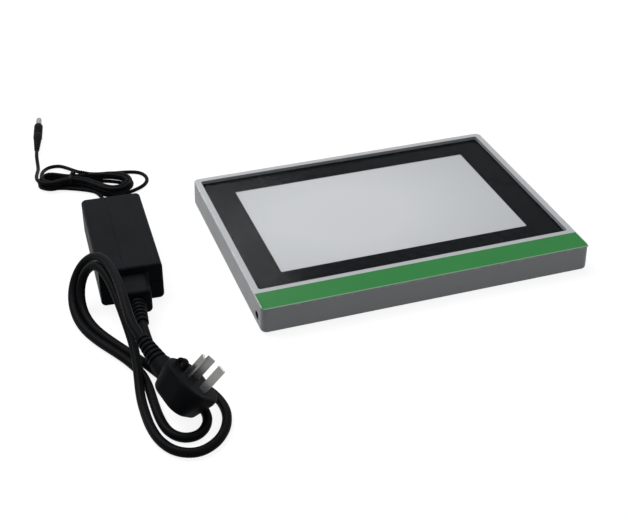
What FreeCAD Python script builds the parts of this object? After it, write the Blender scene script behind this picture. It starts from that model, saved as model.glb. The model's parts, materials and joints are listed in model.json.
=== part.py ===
"""White light pad with its mains adapter, leads and plugs, as separate pieces.

Row frame: millimetres, +Z up, front of the pad towards -Y, origin under the
middle of the pad's footprint on the ground.
"""
import FreeCAD, Part
import math
import os

V = FreeCAD.Vector
os.makedirs("parts", exist_ok=True)

# Pad, outside.
foot_proud = 1.2            # feet hold the case this far off the bench
case_h = 22.35              # case without its feet
glass_w = 267.0
glass_d = 177.6
bar_d = 27.6                # glass to the front face
strip_d = 4.85              # pale strip between glass and green film
glass_t = 3.0
glass_gap = 0.2             # between glass and rim, each side
glass_corner_r = 2.0
rim_top = 5.8               # rim beside the glass, measured on top
draft_run = 0.5             # side, back and far walls lean out by this over the height
corner_r = 5.3              # upright corners of the case
top_edge_r = 0.5
bottom_edge_r = 2.2
wall_t = 2.5
ledge_w = 8.0               # shelf that carries the glass
ledge_t = 2.5
window_w = 216.0            # clear area inside the printed border
window_d = 133.1
window_back = 22.9          # border behind the window
window_shift_x = -0.4
print_t = 0.12
tape_t = 0.3
tape_w = 7.0
band_side = 0.9             # film stops short of the side by this
band_t = 0.2

# Pad, inside.
web_t = 2.5                 # wall between glass bay and front bar
plate_past_w = 0.5          # backing plate reaches past the glass, each side
plate_past_d = 1.0
plate_t = 1.5
plate_lip_t = 1.2
reflector_t = 0.5
guide_side = 5.5            # light guide to the shelf's opening, each side
guide_end = 6.8             # room for lamps and strip, front and back
guide_t = 4.0
diffuser_gap = 0.5
diffuser_t = 2.0
stack_gap = 0.03            # diffuser to printed border
led_n = 36
led_l = 4.0
led_h = 2.6
led_t = 0.9
led_gap = 0.3               # lamp face to edge of the light guide
strip_short = 4.0
strip_h = 4.2
strip_t = 1.0
boss_r = 3.6
boss_hole_r = 1.5
screw_r = 1.45
head_r = 2.8
head_t = 1.8
plate_screw_l = 5.0
bay_corner_r = 3.0
cover_corner_r = 2.6
cover_t = 2.0
cover_gap = 0.25
cover_rib_h = 2.0
cover_rib_t = 1.6
cover_boss_h = 3.0
cover_boss_r = 4.6
cover_bore_r = 3.2
cover_floor_t = 0.5         # bore's floor above the cover's own top
cover_screw_l = 9.0
foot_r = 7.0
foot_sink = 0.6
foot_in_x = 23.3            # foot middles, in from the rim and the ends
foot_in_y = 19.75
boss_in = 4.0               # plate screws, in from the edge of the glass
boss_share_y = 0.385
boss_share_x = 0.18
cover_back_in = 6.8
cover_front_in_x = 24.8
cover_front_in_y = 6.0
rib_end = 14.8
rib_n = 4
vent_n = 9
vent_pitch = 8.0
vent_w = 2.0
vent_l = 10.0
stiffener_at = (-0.5, 0.0, 0.38)
stiffener_t = 1.6
stiffener_d = 2.4
slot_l = 3.0                # cross slot in a screw's head
slot_w = 0.6
slot_d = 0.9
head_edge_r = 0.7

# Sockets and switch.
bar_mid = 13.85             # socket and switch, back from the front face
jack_up = 8.6                # socket's axis above the case's underside
jack_hole_r = 4.0
jack_nose_gap = 0.1
jack_bore_r = 2.85
jack_bore_l = 10.0
jack_pin_r = 1.0
jack_body_w = 9.0
jack_body_h = 11.0
jack_body_l = 13.0
switch_up = 10.8
pocket_depth = 4.2
pocket_w = 20.0
pocket_h = 13.4
pocket_wall = 2.0
bezel_w = 17.6
bezel_h = 11.0
bezel_t = 1.2
sw_body_w = 15.2
sw_body_h = 9.2
sw_body_l = 11.0
sw_cut_gap = 0.15
rocker_half = 5.8
rocker_w = 6.4
rocker_front = 2.6
rocker_dip = 1.4
rocker_back = 1.2
rocker_keel = 2.6
rocker_pin_l = 0.9          # pins past the rocker, each end
rocker_deep = 4.2           # cavity behind the rocker's axis
pivot_in = 1.0
rocker_side_gap = 0.15
rocker_tilt = 10.0
rocker_pin_r = 1.2
rocker_fit = 0.05
rocker_room = 0.8           # cavity past the rocker's ends
terminal_w = 4.8
terminal_t = 0.8
terminal_l = 7.0

# Driver board.
board_in = 70.8             # board's middle, in from the right wall
board_l = 80.0
board_w = 17.0
board_t = 1.6
stand_in_x = 4.0
stand_in_y = 3.0
stand_r = 2.4
coil_r = 5.0
coil_hole_r = 2.0
coil_h = 6.5
can_r = 3.15
can_h = 8.0
can_in = 4.9                # cans' middles, in from the board's long edges
conn_in = 9.5               # wire plugs' middles, in from the board's ends
conn_l = 5.0
conn_w = 8.0
conn_h = 6.5
chip_l = 8.0
chip_w = 6.0
chip_h = 1.6
wire_d = 1.5
wire_out = 3.0              # straight run where a wire leaves or ends
wire_bend = 9.0
wire_up = 3.0
lane_near = 4.9             # supply wires' lanes, back from the socket's axis
lane_far = 7.9
blade_pitch = 4.6
board_up = 4.2              # board above the cover's floor

# Adapter.
brick_at = V(-223.3, -31.4, 0)
brick_turn = -3.21
brick_w = 50.0
brick_l = 115.0
brick_h = 33.8
brick_foot_h = 0.8
brick_foot_r = 4.0
brick_split = 17.3
brick_wall = 2.2
brick_edge_r = 4.0
brick_end_r = 2.0
brick_exit_r = 5.1
brick_seam_h = 0.6
brick_seam_d = 0.4
brick_groove_w = 0.8
brick_groove_d = 0.4
brick_groove_at = 20.0      # groove on the top, from the left side
inlet_z = 16.9
inlet_w = 27.6
inlet_h = 20.0
inlet_l = 19.0
inlet_flange = 1.5
inlet_proud = 0.4
recess_w = 24.6
recess_h = 16.6
recess_l = 15.6
recess_cut = 4.2            # sloped corners of the socket shape
inlet_pin_w = 4.0
inlet_pin_t = 2.0
inlet_pin_out = 12.0
inlet_pin_pitch = 7.0
inlet_pin_up = 4.0
nose_gap = 0.3
nose_l = 15.0
slot_gap = 0.35
grip_w = 24.0
grip_h = 21.0
grip_l = 25.0
relief_l = 27.0
relief_r0 = 7.0
relief_r1 = 4.9

# Cords.
mains_d = 7.0
dc_d = 3.4
dc_exit_l = 13.0
dc_exit_r0 = 5.0
dc_exit_r1 = 3.0

# Mains plug.
plug_c = V(0.299, -0.912, -0.281)
plug_n = V(0.701, 0.010, 0.714)
plug_at = V(-209.3, -177.1, 29.5)
plug_half = 19.0
plug_fore = 20.0
plug_aft = 22.0
plug_deep = 22.0
plug_taper = 4.5
plug_face_t = 5.0
plug_edge_r = 2.0
plug_axis = 13.0            # cord axis behind the face
plug_relief_0 = 29.0
plug_relief_1 = 56.0
plug_relief_r0 = 7.2
plug_relief_r1 = 4.8
blade_w = 6.35
blade_t = 1.6
blade_l = 18.0
earth_l = 21.0
blade_x = -3.96
blade_y = 6.86
earth_x = 10.31
blade_toe = 30.0
blade_root = 6.0
eye_x = -12.0
eye_y = -6.7
eye_hole_r = 2.2
eye_ring = 2.0
eye_t = 4.4

# Mains lead, from the connector to the plug, a point at every bend.
mains_route = [
    (-226.21, -83.32, 16.9), (-226.97, -96.9, 16.9), (-225.8, -110.0, 11.5),
    (-220.0, -123.0, 5.4), (-210.0, -137.5, 3.5), (-200.0, -152.0, 3.5),
    (-192.2, -168.0, 3.5), (-189.5, -185.0, 3.5), (-194.0, -202.0, 3.5),
    (-204.5, -215.5, 3.5), (-219.0, -221.8, 3.5), (-233.0, -216.0, 3.5),
    (-241.0, -202.5, 3.5), (-244.0, -186.0, 3.5), (-244.3, -169.0, 3.5),
    (-243.6, -151.0, 4.5), (-240.5, -131.0, 11.0), (-238.4, -112.0, 17.0),
    (-239.0, -94.5, 23.4), (-240.3, -74.3, 30.2), (-241.9, -55.5, 36.4),
    (-245.0, -39.2, 40.6), (-250.3, -27.4, 39.9), (-256.1, -20.6, 30.8),
    (-260.7, -22.5, 18.9), (-262.0, -32.1, 9.6), (-260.0, -46.3, 4.7),
    (-255.7, -62.3, 3.5), (-249.0, -79.0, 3.5), (-241.0, -96.0, 3.5),
    (-232.5, -113.0, 3.5), (-225.0, -131.0, 3.5), (-216.5, -148.0, 3.5),
    (-208.5, -164.5, 3.5), (-203.6, -181.0, 3.5), (-205.2, -194.0, 3.5),
    (-213.5, -204.3, 3.5), (-225.0, -204.6, 3.5), (-233.2, -195.5, 3.5),
    (-236.0, -180.5, 3.5), (-236.0, -160.0, 3.5), (-235.4, -142.0, 3.5),
    (-236.8, -126.0, 3.5), (-242.3, -110.5, 3.8), (-250.5, -94.9, 4.2),
    (-259.5, -78.0, 3.6), (-266.8, -60.0, 3.5), (-270.6, -41.5, 5.1),
    (-270.2, -24.4, 10.4), (-265.1, -12.5, 20.1), (-256.4, -9.8, 32.4),
    (-247.5, -19.2, 43.0), (-241.6, -35.5, 47.4), (-239.2, -57.4, 47.8),
    (-238.6, -79.6, 46.2), (-239.2, -99.0, 43.4),
]

# Low-voltage lead: adapter to hank, the hank's outline, two loose strands of it, then hank to plug.
dc_in_route = [
    (-216.13, 96.4, 16.9), (-215.54, 106.98, 16.9), (-216.0, 118.5, 9.6),
    (-217.0, 129.0, 5.0), (-217.8, 140.0, 3.4), (-221.5, 151.0, 2.8),
]
dc_out_route = [
    (-265.6, 176.0, 8.0), (-266.6, 187.0, 6.8), (-265.3, 198.0, 4.0),
    (-263.2, 209.5, 2.0), (-262.3, 221.5, 2.1), (-261.378, 232.907, 4.4),
    (-259.441, 243.735, 4.4),
]
hank_outline = [
    (-268.0, 174.5), (-264.2, 183.6), (-256.0, 186.9), (-247.5, 183.0),
    (-238.0, 177.6), (-226.0, 175.6), (-212.0, 173.5), (-198.0, 169.0),
    (-187.0, 161.0), (-182.5, 149.0), (-187.5, 137.0), (-199.5, 131.5),
    (-212.0, 135.5), (-221.0, 147.0), (-230.0, 159.5), (-239.5, 165.6),
    (-248.5, 164.6), (-257.0, 163.2), (-264.6, 166.4),
]
hank_loop_left = [
    (-262.0, 176.0, 8.6), (-261.2, 188.5, 7.2), (-259.2, 200.5, 4.2),
    (-253.0, 209.6, 2.0), (-243.8, 209.6, 1.9), (-237.6, 200.0, 3.4),
    (-232.8, 188.0, 6.0), (-226.5, 177.0, 8.2), (-216.0, 170.0, 8.6),
]
hank_loop_right = [
    (-236.8, 174.6, 2.7), (-223.5, 178.8, 2.5), (-210.3, 180.6, 2.2),
    (-196.7, 179.0, 1.9), (-184.8, 177.0, 1.9), (-175.2, 173.0, 1.9),
    (-170.6, 164.5, 1.9), (-171.2, 154.5, 1.9), (-177.0, 146.5, 1.9),
    (-185.8, 141.0, 2.2), (-195.0, 136.5, 2.6),
]
hank_floor = 0.9
hank_h = 10.2
hank_edge_r = 1.6
tie_at = V(-237.5, 170.9, 0)
tie_turn = -21.0
tie_w = 6.0
tie_span = 15.4
tie_r = 0.8
tie_t = 0.8
dc_plug_dir = V(0.176, 0.984, 0.0)
dc_plug_r = 4.2
dc_plug_l = 26.0
dc_plug_relief_l = 24.0
barrel_r = 2.75
barrel_bore_r = 1.6
barrel_l = 13.0
tip_r = 2.45
contact_r = 1.3
tip_hole_r = 1.08
tip_l = 1.5


# Levels and places worked out from the sizes.
case_z0 = foot_proud
case_z1 = foot_proud + case_h
case_d = glass_d + rim_top + draft_run + bar_d
band_d = bar_d - strip_d
open_w = glass_w - 2 * ledge_w
open_d = glass_d - 2 * ledge_w
guide_w = open_w - 2 * guide_side
guide_d = open_d - 2 * guide_end
diffuser_w = open_w - 2 * diffuser_gap
diffuser_d = open_d - 2 * diffuser_gap
strip_l = guide_w - strip_short
plate_w = glass_w + 2 * plate_past_w
plate_d = glass_d + 2 * plate_past_d
glass_z0 = case_z1 - glass_t
print_z0 = glass_z0 - print_t
tape_z0 = print_z0 - tape_t
ledge_z0 = tape_z0 - ledge_t
diffuser_z1 = print_z0 - stack_gap
diffuser_z0 = diffuser_z1 - diffuser_t
guide_z0 = diffuser_z0 - guide_t
reflector_z0 = guide_z0 - reflector_t
plate_z0 = reflector_z0 - plate_t
cover_z0 = case_z0
cover_z1 = cover_z0 + cover_t
case_w_top = glass_w + 2 * rim_top
case_w_bottom = case_w_top + 2 * draft_run
case_y0 = -case_d / 2
case_y1 = case_d / 2
glass_y1 = case_y1 - draft_run - rim_top
glass_y0 = glass_y1 - glass_d
glass_yc = (glass_y0 + glass_y1) / 2
bay_y0 = glass_y0 - web_t
inner_x = case_w_top / 2 - wall_t
inner_y0 = case_y0 + wall_t
inner_y1 = case_y1 - draft_run - wall_t
bar_roof = case_z1 - wall_t
jack_y = case_y0 + bar_mid
jack_z = case_z0 + jack_up
switch_z = case_z0 + switch_up
board_z = cover_z1 + board_up
switch_y = jack_y
board_x = inner_x - board_in
foot_x = case_w_top / 2 - foot_in_x
foot_y = case_d / 2 - foot_in_y


def save(shape, name):
    """Write one node and print what it holds."""
    if not shape.isValid():
        print("NOT VALID", name)
    shape.exportStep("parts/" + name + ".step")
    print(name, len(shape.Solids), round(shape.Volume, 1))
    return shape


def box(x0, x1, y0, y1, z0, z1, r=0.0):
    """A block, with its upright edges rounded by r."""
    b = Part.makeBox(x1 - x0, y1 - y0, z1 - z0, V(x0, y0, z0))
    if r > 0:
        b = b.makeFillet(r, upright(b))
    return b


def cbox(xc, yc, w, d, z0, z1, r=0.0):
    """A block about a middle point."""
    return box(xc - w / 2, xc + w / 2, yc - d / 2, yc + d / 2, z0, z1, r)


def cyl(r, h, at, way=V(0, 0, 1)):
    return Part.makeCylinder(r, h, at, way)


def cone(r0, r1, h, at, way=V(0, 0, 1)):
    return Part.makeCone(r0, r1, h, at, way)


def upright(shape):
    """Edges that run up the shape."""
    out = []
    for e in shape.Edges:
        a = e.Vertexes[0].Point
        b = e.Vertexes[-1].Point
        if abs(a.x - b.x) < 1.5 and abs(a.y - b.y) < 1.5 and abs(a.z - b.z) > 0.1:
            out.append(e)
    return out


def level(shape, z, tol=0.01):
    """Edges that lie at one height."""
    out = []
    for e in shape.Edges:
        b = e.BoundBox
        if abs(b.ZMin - z) < tol and abs(b.ZMax - z) < tol:
            out.append(e)
    return out


def join(shapes):
    """One solid from touching shapes."""
    s = shapes[0].multiFuse(shapes[1:]).removeSplitter()
    return s.Solids[0] if len(s.Solids) == 1 else s


def cut(shape, tools):
    s = shape.cut(Part.makeCompound(tools)) if len(tools) > 1 else shape.cut(tools[0])
    return s.Solids[0] if len(s.Solids) == 1 else s


def tube(points, dia, label):
    """A round cord along straight runs joined by tangent arcs."""
    pts = [V(*p) for p in points]
    edges = []
    here = pts[0]
    tightest = 1e9
    sharpest = 0.0
    for i in range(1, len(pts) - 1):
        back = pts[i - 1] - pts[i]
        ahead = pts[i + 1] - pts[i]
        run = min(back.Length, ahead.Length)
        turn = math.pi - back.getAngle(ahead)
        reach = 0.45 * run
        back.normalize()
        ahead.normalize()
        a = pts[i] + back * reach
        b = pts[i] + ahead * reach
        radius = reach / math.tan(turn / 2)
        mid_way = (back + ahead).normalize()
        to_arc = radius / math.cos(turn / 2) - radius
        mid = pts[i] + mid_way * to_arc
        tightest = min(tightest, radius)
        sharpest = max(sharpest, math.degrees(turn))
        edges.append(Part.LineSegment(here, a).toShape())
        edges.append(Part.Arc(a, mid, b).toShape())
        here = b
    edges.append(Part.LineSegment(here, pts[-1]).toShape())
    path = Part.Wire(edges)
    ring = Part.Wire(Part.Circle(pts[0], pts[1] - pts[0], dia / 2).toShape())
    s = path.makePipeShell([ring], True, False)
    s = Part.Solid(s) if s.ShapeType == "Shell" else s
    if s.Volume < 0:
        s.reverse()
    want = math.pi * dia * dia / 4 * path.Length
    print(label, "length", round(path.Length, 1), "volume ratio", round(s.Volume / want, 4),
          "tightest", round(tightest, 1), "sharpest", round(sharpest, 1))
    return s


# The pad.
def drafted_block():
    """Outer block of the case: upright front, other walls leaning out."""
    wt = case_w_top / 2
    wb = case_w_bottom / 2
    low = [V(-wb, case_y0, case_z0), V(wb, case_y0, case_z0),
           V(wb, case_y1, case_z0), V(-wb, case_y1, case_z0)]
    yt = case_y1 - draft_run
    top = [V(-wt, case_y0, case_z1), V(wt, case_y0, case_z1),
           V(wt, yt, case_z1), V(-wt, yt, case_z1)]
    a = Part.makePolygon(low + [low[0]])
    b = Part.makePolygon(top + [top[0]])
    s = Part.makeLoft([a, b], True, True)
    s = s.makeFillet(corner_r, upright(s))
    s = s.makeFillet(top_edge_r, level(s, case_z1))
    return s.makeFillet(bottom_edge_r, level(s, case_z0))


plate_boss_at = []
boss_x = glass_w / 2 - boss_in
for px in (-boss_x, boss_x):
    for share in (-boss_share_y, 0.0, boss_share_y):
        plate_boss_at.append((px, glass_yc + share * glass_d))
for px in (-boss_share_x * glass_w, boss_share_x * glass_w):
    plate_boss_at.append((px, glass_y0 + boss_in))
    plate_boss_at.append((px, glass_y1 - boss_in))
cover_front_x = inner_x - cover_front_in_x
cover_front_y = inner_y0 + cover_front_in_y
cover_back_x = inner_x - cover_back_in
cover_back_y = inner_y1 - cover_back_in
cover_boss_at = [(-cover_front_x, cover_front_y), (cover_front_x, cover_front_y),
                 (-cover_back_x, cover_back_y), (cover_back_x, cover_back_y)]

body = drafted_block()
hollows = []
bay_x = inner_x
hollows.append(box(-bay_x, bay_x, bay_y0 - 2 * bay_corner_r, inner_y1, case_z0 - 1, ledge_z0, bay_corner_r))
hollows.append(box(-bay_x, bay_x, inner_y0, bay_y0 + 0.01, case_z0 - 1, ledge_z0))
hollows.append(box(-bay_x, bay_x, inner_y0, bay_y0, case_z0 - 1, bar_roof))
hollows.append(cbox(0, glass_yc, glass_w + 2 * glass_gap, glass_d + 2 * glass_gap,
                    tape_z0, case_z1 + 1, glass_corner_r + glass_gap))
hollows.append(cbox(0, glass_yc, open_w, open_d, ledge_z0 - 1, tape_z0 + 1, bay_corner_r))
band_half = case_w_top / 2 - band_side
band_y1 = case_y0 + band_d
hollows.append(box(-band_half, band_half, case_y0 - 1, band_y1, case_z1 - band_t, case_z1 + 1))
body = cut(body, hollows)

adds = []
for px, py in plate_boss_at:
    adds.append(cyl(boss_r, ledge_z0 + 0.5 - reflector_z0, V(px, py, reflector_z0)))
cover_boss_z0 = cover_z1 + cover_boss_h
for px, py in cover_boss_at:
    top = bar_roof if py < 0 else ledge_z0
    adds.append(cyl(boss_r + 0.4, top + 0.5 - cover_boss_z0, V(px, py, cover_boss_z0)))
for share in stiffener_at:
    px = share * inner_x
    adds.append(box(px - stiffener_t / 2, px + stiffener_t / 2, inner_y0 - 0.5, inner_y0 + stiffener_d,
                    cover_z1 + board_up, bar_roof + 0.5))
side_x = case_w_top / 2 + draft_run / 2
pocket_x = side_x - pocket_depth
adds.append(box(pocket_x - pocket_wall, inner_x + 0.5, switch_y - pocket_w / 2 - pocket_wall,
                switch_y + pocket_w / 2 + pocket_wall - 0.9, cover_z1 + 0.3, bar_roof + 0.5))
body = join([body] + adds)

cuts = []
for px, py in plate_boss_at:
    cuts.append(cyl(boss_hole_r, 6.4, V(px, py, reflector_z0 - 1)))
for px, py in cover_boss_at:
    cuts.append(cyl(boss_hole_r, 10.5, V(px, py, cover_boss_z0 - 1)))
cuts.append(cyl(jack_hole_r, 8.0, V(-side_x - 2, jack_y, jack_z), V(1, 0, 0)))
cuts.append(box(pocket_x, side_x + 3, switch_y - pocket_w / 2, switch_y + pocket_w / 2,
                switch_z - pocket_h / 2, switch_z + pocket_h / 2))
cuts.append(box(pocket_x - pocket_wall - 1, pocket_x + 1,
                switch_y - sw_body_w / 2 - sw_cut_gap, switch_y + sw_body_w / 2 + sw_cut_gap,
                switch_z - sw_body_h / 2 - sw_cut_gap, switch_z + sw_body_h / 2 + sw_cut_gap))
top_case = save(cut(body, cuts), "top_case")

band = box(-band_half + 0.1, band_half - 0.1, case_y0 + 0.1, band_y1 - 0.05,
           case_z1 - band_t, case_z1)
save(band, "label_band")

glass = cbox(0, glass_yc, glass_w, glass_d, glass_z0, case_z1, glass_corner_r)
glass = glass.makeFillet(0.25, level(glass, case_z1))
save(glass, "glass_panel")
win_yc = glass_y1 - window_back - window_d / 2
border = cut(cbox(0, glass_yc, glass_w, glass_d, print_z0, glass_z0, glass_corner_r),
             [cbox(window_shift_x, win_yc, window_w, window_d, print_z0 - 1, glass_z0 + 1)])
save(border, "border_print")
tape_out = cbox(0, glass_yc, glass_w - 0.6, glass_d - 0.6, tape_z0, print_z0, glass_corner_r)
tape_in = cbox(0, glass_yc, glass_w - 2 * tape_w, glass_d - 2 * tape_w, tape_z0 - 1, print_z0 + 1, 1.0)
save(cut(tape_out, [tape_in]), "glass_tape")
save(cbox(0, glass_yc, diffuser_w, diffuser_d, diffuser_z0, diffuser_z1, 2.0), "diffuser_sheet")
save(cbox(0, glass_yc, guide_w, guide_d, guide_z0, diffuser_z0), "light_guide")
save(cbox(0, glass_yc, guide_w, guide_d, reflector_z0, guide_z0), "reflector_sheet")

lip_far = guide_d / 2 + led_gap + led_t + strip_t
plate_yc = glass_yc
plate = cbox(0, plate_yc, plate_w, plate_d, plate_z0, reflector_z0, 2.0)
lips = []
for side in (-1, 1):
    ya = glass_yc + side * lip_far
    yb = ya + side * plate_lip_t
    lips.append(box(-strip_l / 2, strip_l / 2, min(ya, yb), max(ya, yb), reflector_z0, diffuser_z0 - 0.1))
plate = join([plate] + lips)
plate_cuts = [cyl(boss_hole_r + 0.2, 6, V(px, py, plate_z0 - 2)) for px, py in plate_boss_at]
for px, py in cover_boss_at[2:]:
    plate_cuts.append(cyl(boss_r + 1.0, 8, V(px, py, plate_z0 - 2)))
    far = 1 if px > 0 else -1
    edge_x = px + 3 * boss_r * far
    edge_y = py + 3 * boss_r
    around = boss_r + 1.0
    plate_cuts.append(box(min(px, edge_x), max(px, edge_x), py - around, edge_y, plate_z0 - 2, reflector_z0 + 1))
    plate_cuts.append(box(px - around, px + around, py, edge_y, plate_z0 - 2, reflector_z0 + 1))
save(cut(plate, plate_cuts), "backing_plate")


def lamp_rows(side):
    """A strip board with its row of lamps, facing the guide's edge."""
    face = glass_yc + side * (guide_d / 2 + led_gap)
    back = face + side * led_t
    far = back + side * strip_t
    strip = box(-strip_l / 2, strip_l / 2, min(back, far), max(back, far),
                reflector_z0, reflector_z0 + strip_h)
    step = (strip_l - 8) / (led_n - 1)
    lamps = []
    for i in range(led_n):
        x = -strip_l / 2 + 4 + i * step
        lamps.append(box(x - led_l / 2, x + led_l / 2, min(face, back), max(face, back),
                         reflector_z0 + 1.0, reflector_z0 + 1.0 + led_h))
    return strip, Part.makeCompound(lamps)


for side, word in ((-1, "front"), (1, "back")):
    strip, lamps = lamp_rows(side)
    save(strip, "led_strip_" + word)
    save(lamps, "leds_" + word)


def pan_screw(at, length):
    """Pan head below, shank up into its boss."""
    head = cyl(head_r, head_t, at - V(0, 0, head_t))
    head = head.makeFillet(head_edge_r, level(head, at.z - head_t))
    low = at.z - head_t
    head = head.cut(cbox(at.x, at.y, slot_l, slot_w, low - 1, low + slot_d))
    head = head.cut(cbox(at.x, at.y, slot_w, slot_l, low - 1, low + slot_d))
    return join([head, cyl(screw_r, length, at)])


screws = [pan_screw(V(px, py, plate_z0), plate_screw_l) for px, py in plate_boss_at]
save(Part.makeCompound(screws), "plate_screws")

# Bottom cover, let in between the walls, with ribs and counterbored screws.
cov = box(-inner_x + cover_gap, inner_x - cover_gap, inner_y0 + cover_gap, inner_y1 - cover_gap,
          cover_z0, cover_z1, cover_corner_r)
cov_adds = []
rib_x = inner_x - rib_end
rib_y0 = bay_y0 + rib_end / 2
rib_y1 = inner_y1 - rib_end
for i in range(rib_n):
    y = rib_y0 + (rib_y1 - rib_y0) * (i + 0.5) / rib_n
    x = -rib_x + 2 * rib_x * (i + 0.5) / rib_n
    cov_adds.append(box(-rib_x, rib_x, y - cover_rib_t / 2, y + cover_rib_t / 2,
                        cover_z1 - 0.2, cover_z1 + cover_rib_h))
    cov_adds.append(box(x - cover_rib_t / 2, x + cover_rib_t / 2, rib_y0, rib_y1,
                        cover_z1 - 0.2, cover_z1 + cover_rib_h))
for px, py in cover_boss_at:
    cov_adds.append(cyl(cover_boss_r, cover_boss_h + 0.2, V(px, py, cover_z1 - 0.2)))
jack_x0 = -side_x + 0.3
jack_wall_x = -inner_x + 0.05
cradle_z = jack_z - jack_body_h / 2
cov_adds.append(box(jack_wall_x + 2, jack_wall_x + jack_body_l - 1, jack_y - 3, jack_y + 3,
                    cover_z1 - 0.2, cradle_z))
stand_at = []
for dx in (-board_l / 2 + stand_in_x, board_l / 2 - stand_in_x):
    for dy in (-board_w / 2 + stand_in_y, board_w / 2 - stand_in_y):
        stand_at.append((board_x + dx, switch_y + dy))
for px, py in stand_at:
    cov_adds.append(cyl(stand_r, board_z - cover_z1 + 0.2, V(px, py, cover_z1 - 0.2)))
cov = join([cov] + cov_adds)
cov_cuts = []
for px, py in cover_boss_at:
    cov_cuts.append(cyl(cover_bore_r, cover_t + cover_floor_t + 1, V(px, py, cover_z0 - 1)))
    cov_cuts.append(cyl(screw_r + 0.2, 12, V(px, py, cover_z0)))
foot_at = [(sx * foot_x, sy * foot_y) for sx in (-1, 1) for sy in (-1, 1)]
for px, py in foot_at:
    cov_cuts.append(cyl(foot_r + 0.1, foot_sink + 1, V(px, py, cover_z0 - 1)))
for px, py in stand_at:
    cov_cuts.append(cyl(0.9, 5, V(px, py, board_z - 3)))
for i in range(vent_n):
    x = (i - (vent_n - 1) / 2) * vent_pitch
    cov_cuts.append(box(x - vent_w / 2, x + vent_w / 2, jack_y - vent_l / 2, jack_y + vent_l / 2,
                        cover_z0 - 1, cover_z1 + 1))
save(cut(cov, cov_cuts), "bottom_cover")
screws = [pan_screw(V(px, py, cover_z1 + cover_floor_t), cover_screw_l) for px, py in cover_boss_at]
save(Part.makeCompound(screws), "cover_screws")
feet = []
for px, py in foot_at:
    f = cyl(foot_r, foot_proud + foot_sink, V(px, py, 0))
    feet.append(f.makeFillet(0.5, level(f, 0)))
save(Part.makeCompound(feet), "rubber_feet")

# Power socket: a nose in the side wall, a block behind it, a bore and a pin.
nose = cyl(jack_hole_r - jack_nose_gap, jack_wall_x - jack_x0 + 0.5, V(jack_x0, jack_y, jack_z), V(1, 0, 0))
block = box(jack_wall_x, jack_wall_x + jack_body_l, jack_y - jack_body_w / 2, jack_y + jack_body_w / 2,
            jack_z - jack_body_h / 2, jack_z + jack_body_h / 2)
jack = join([nose, block])
jack = jack.cut(cyl(jack_bore_r, jack_bore_l + 1, V(jack_x0 - 1, jack_y, jack_z), V(1, 0, 0)))
jack = jack.cut(cyl(jack_pin_r + 0.02, 4, V(jack_x0 + jack_bore_l - 0.5, jack_y, jack_z), V(1, 0, 0)))
save(jack.Solids[0], "dc_jack_body")
pin = cyl(jack_pin_r, jack_bore_l + 2.0, V(jack_x0 + 1.2, jack_y, jack_z), V(1, 0, 0))
pin = pin.makeFillet(0.4, [e for e in pin.Edges if abs(e.BoundBox.XMax - jack_x0 - 1.2) < 0.01])
save(pin, "dc_jack_pin")

# Switch: housing with bezel, rocker on two pins, three blades.
bezel_x = pocket_x + bezel_t
pivot_x = bezel_x - pivot_in
cav_half = rocker_half + rocker_room
bez = box(pocket_x, bezel_x, switch_y - bezel_w / 2, switch_y + bezel_w / 2,
          switch_z - bezel_h / 2, switch_z + bezel_h / 2)
bez = bez.makeFillet(0.5, [e for e in bez.Edges if e.BoundBox.XMin > bezel_x - 0.01])
shell = box(pocket_x - sw_body_l, pocket_x + 0.2, switch_y - sw_body_w / 2, switch_y + sw_body_w / 2,
            switch_z - sw_body_h / 2, switch_z + sw_body_h / 2)
housing = join([bez, shell])
cav_z = rocker_w / 2 + rocker_side_gap
housing = housing.cut(box(pivot_x - rocker_deep, bezel_x + 1, switch_y - cav_half, switch_y + cav_half,
                          switch_z - cav_z, switch_z + cav_z))
pin_half = rocker_w / 2 + rocker_pin_l
housing = housing.cut(cyl(rocker_pin_r + rocker_fit, 2 * pin_half + 0.1,
                          V(pivot_x, switch_y, switch_z - pin_half - 0.05)))
blades_at = (-blade_pitch, 0.0, blade_pitch)
term_x = pocket_x - sw_body_l
for dy in blades_at:
    housing = housing.cut(cbox(term_x, switch_y + dy, 5.0, terminal_t + 0.1,
                               switch_z - terminal_w / 2 - 0.05, switch_z + terminal_w / 2 + 0.05))
save(housing.Solids[0], "switch_housing")
flat = [(-rocker_half, -rocker_back), (-rocker_half, rocker_front), (0.0, rocker_dip),
        (rocker_half, rocker_front), (rocker_half, -rocker_back),
        (0.38 * rocker_half, -rocker_keel), (-0.38 * rocker_half, -rocker_keel)]
face = Part.Face(Part.makePolygon([V(pivot_x + v, switch_y + u, switch_z - rocker_w / 2)
                                   for u, v in flat + flat[:1]]))
rocker = face.extrude(V(0, 0, rocker_w))
rocker = join([rocker, cyl(rocker_pin_r, 2 * pin_half, V(pivot_x, switch_y, switch_z - pin_half))])
rocker.rotate(V(pivot_x, switch_y, switch_z), V(0, 0, 1), -rocker_tilt)
save(rocker, "switch_rocker")
terms = []
for dy in blades_at:
    t = cbox(term_x - terminal_l / 2 + 1.2, switch_y + dy, terminal_l + 2.4, terminal_t,
             switch_z - terminal_w / 2, switch_z + terminal_w / 2)
    t = t.cut(cyl(0.9, 6, V(term_x - terminal_l + 3.2, switch_y + dy - 3, switch_z), V(0, 1, 0)))
    terms.append(t.Solids[0])
save(Part.makeCompound(terms), "switch_terminals")

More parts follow.
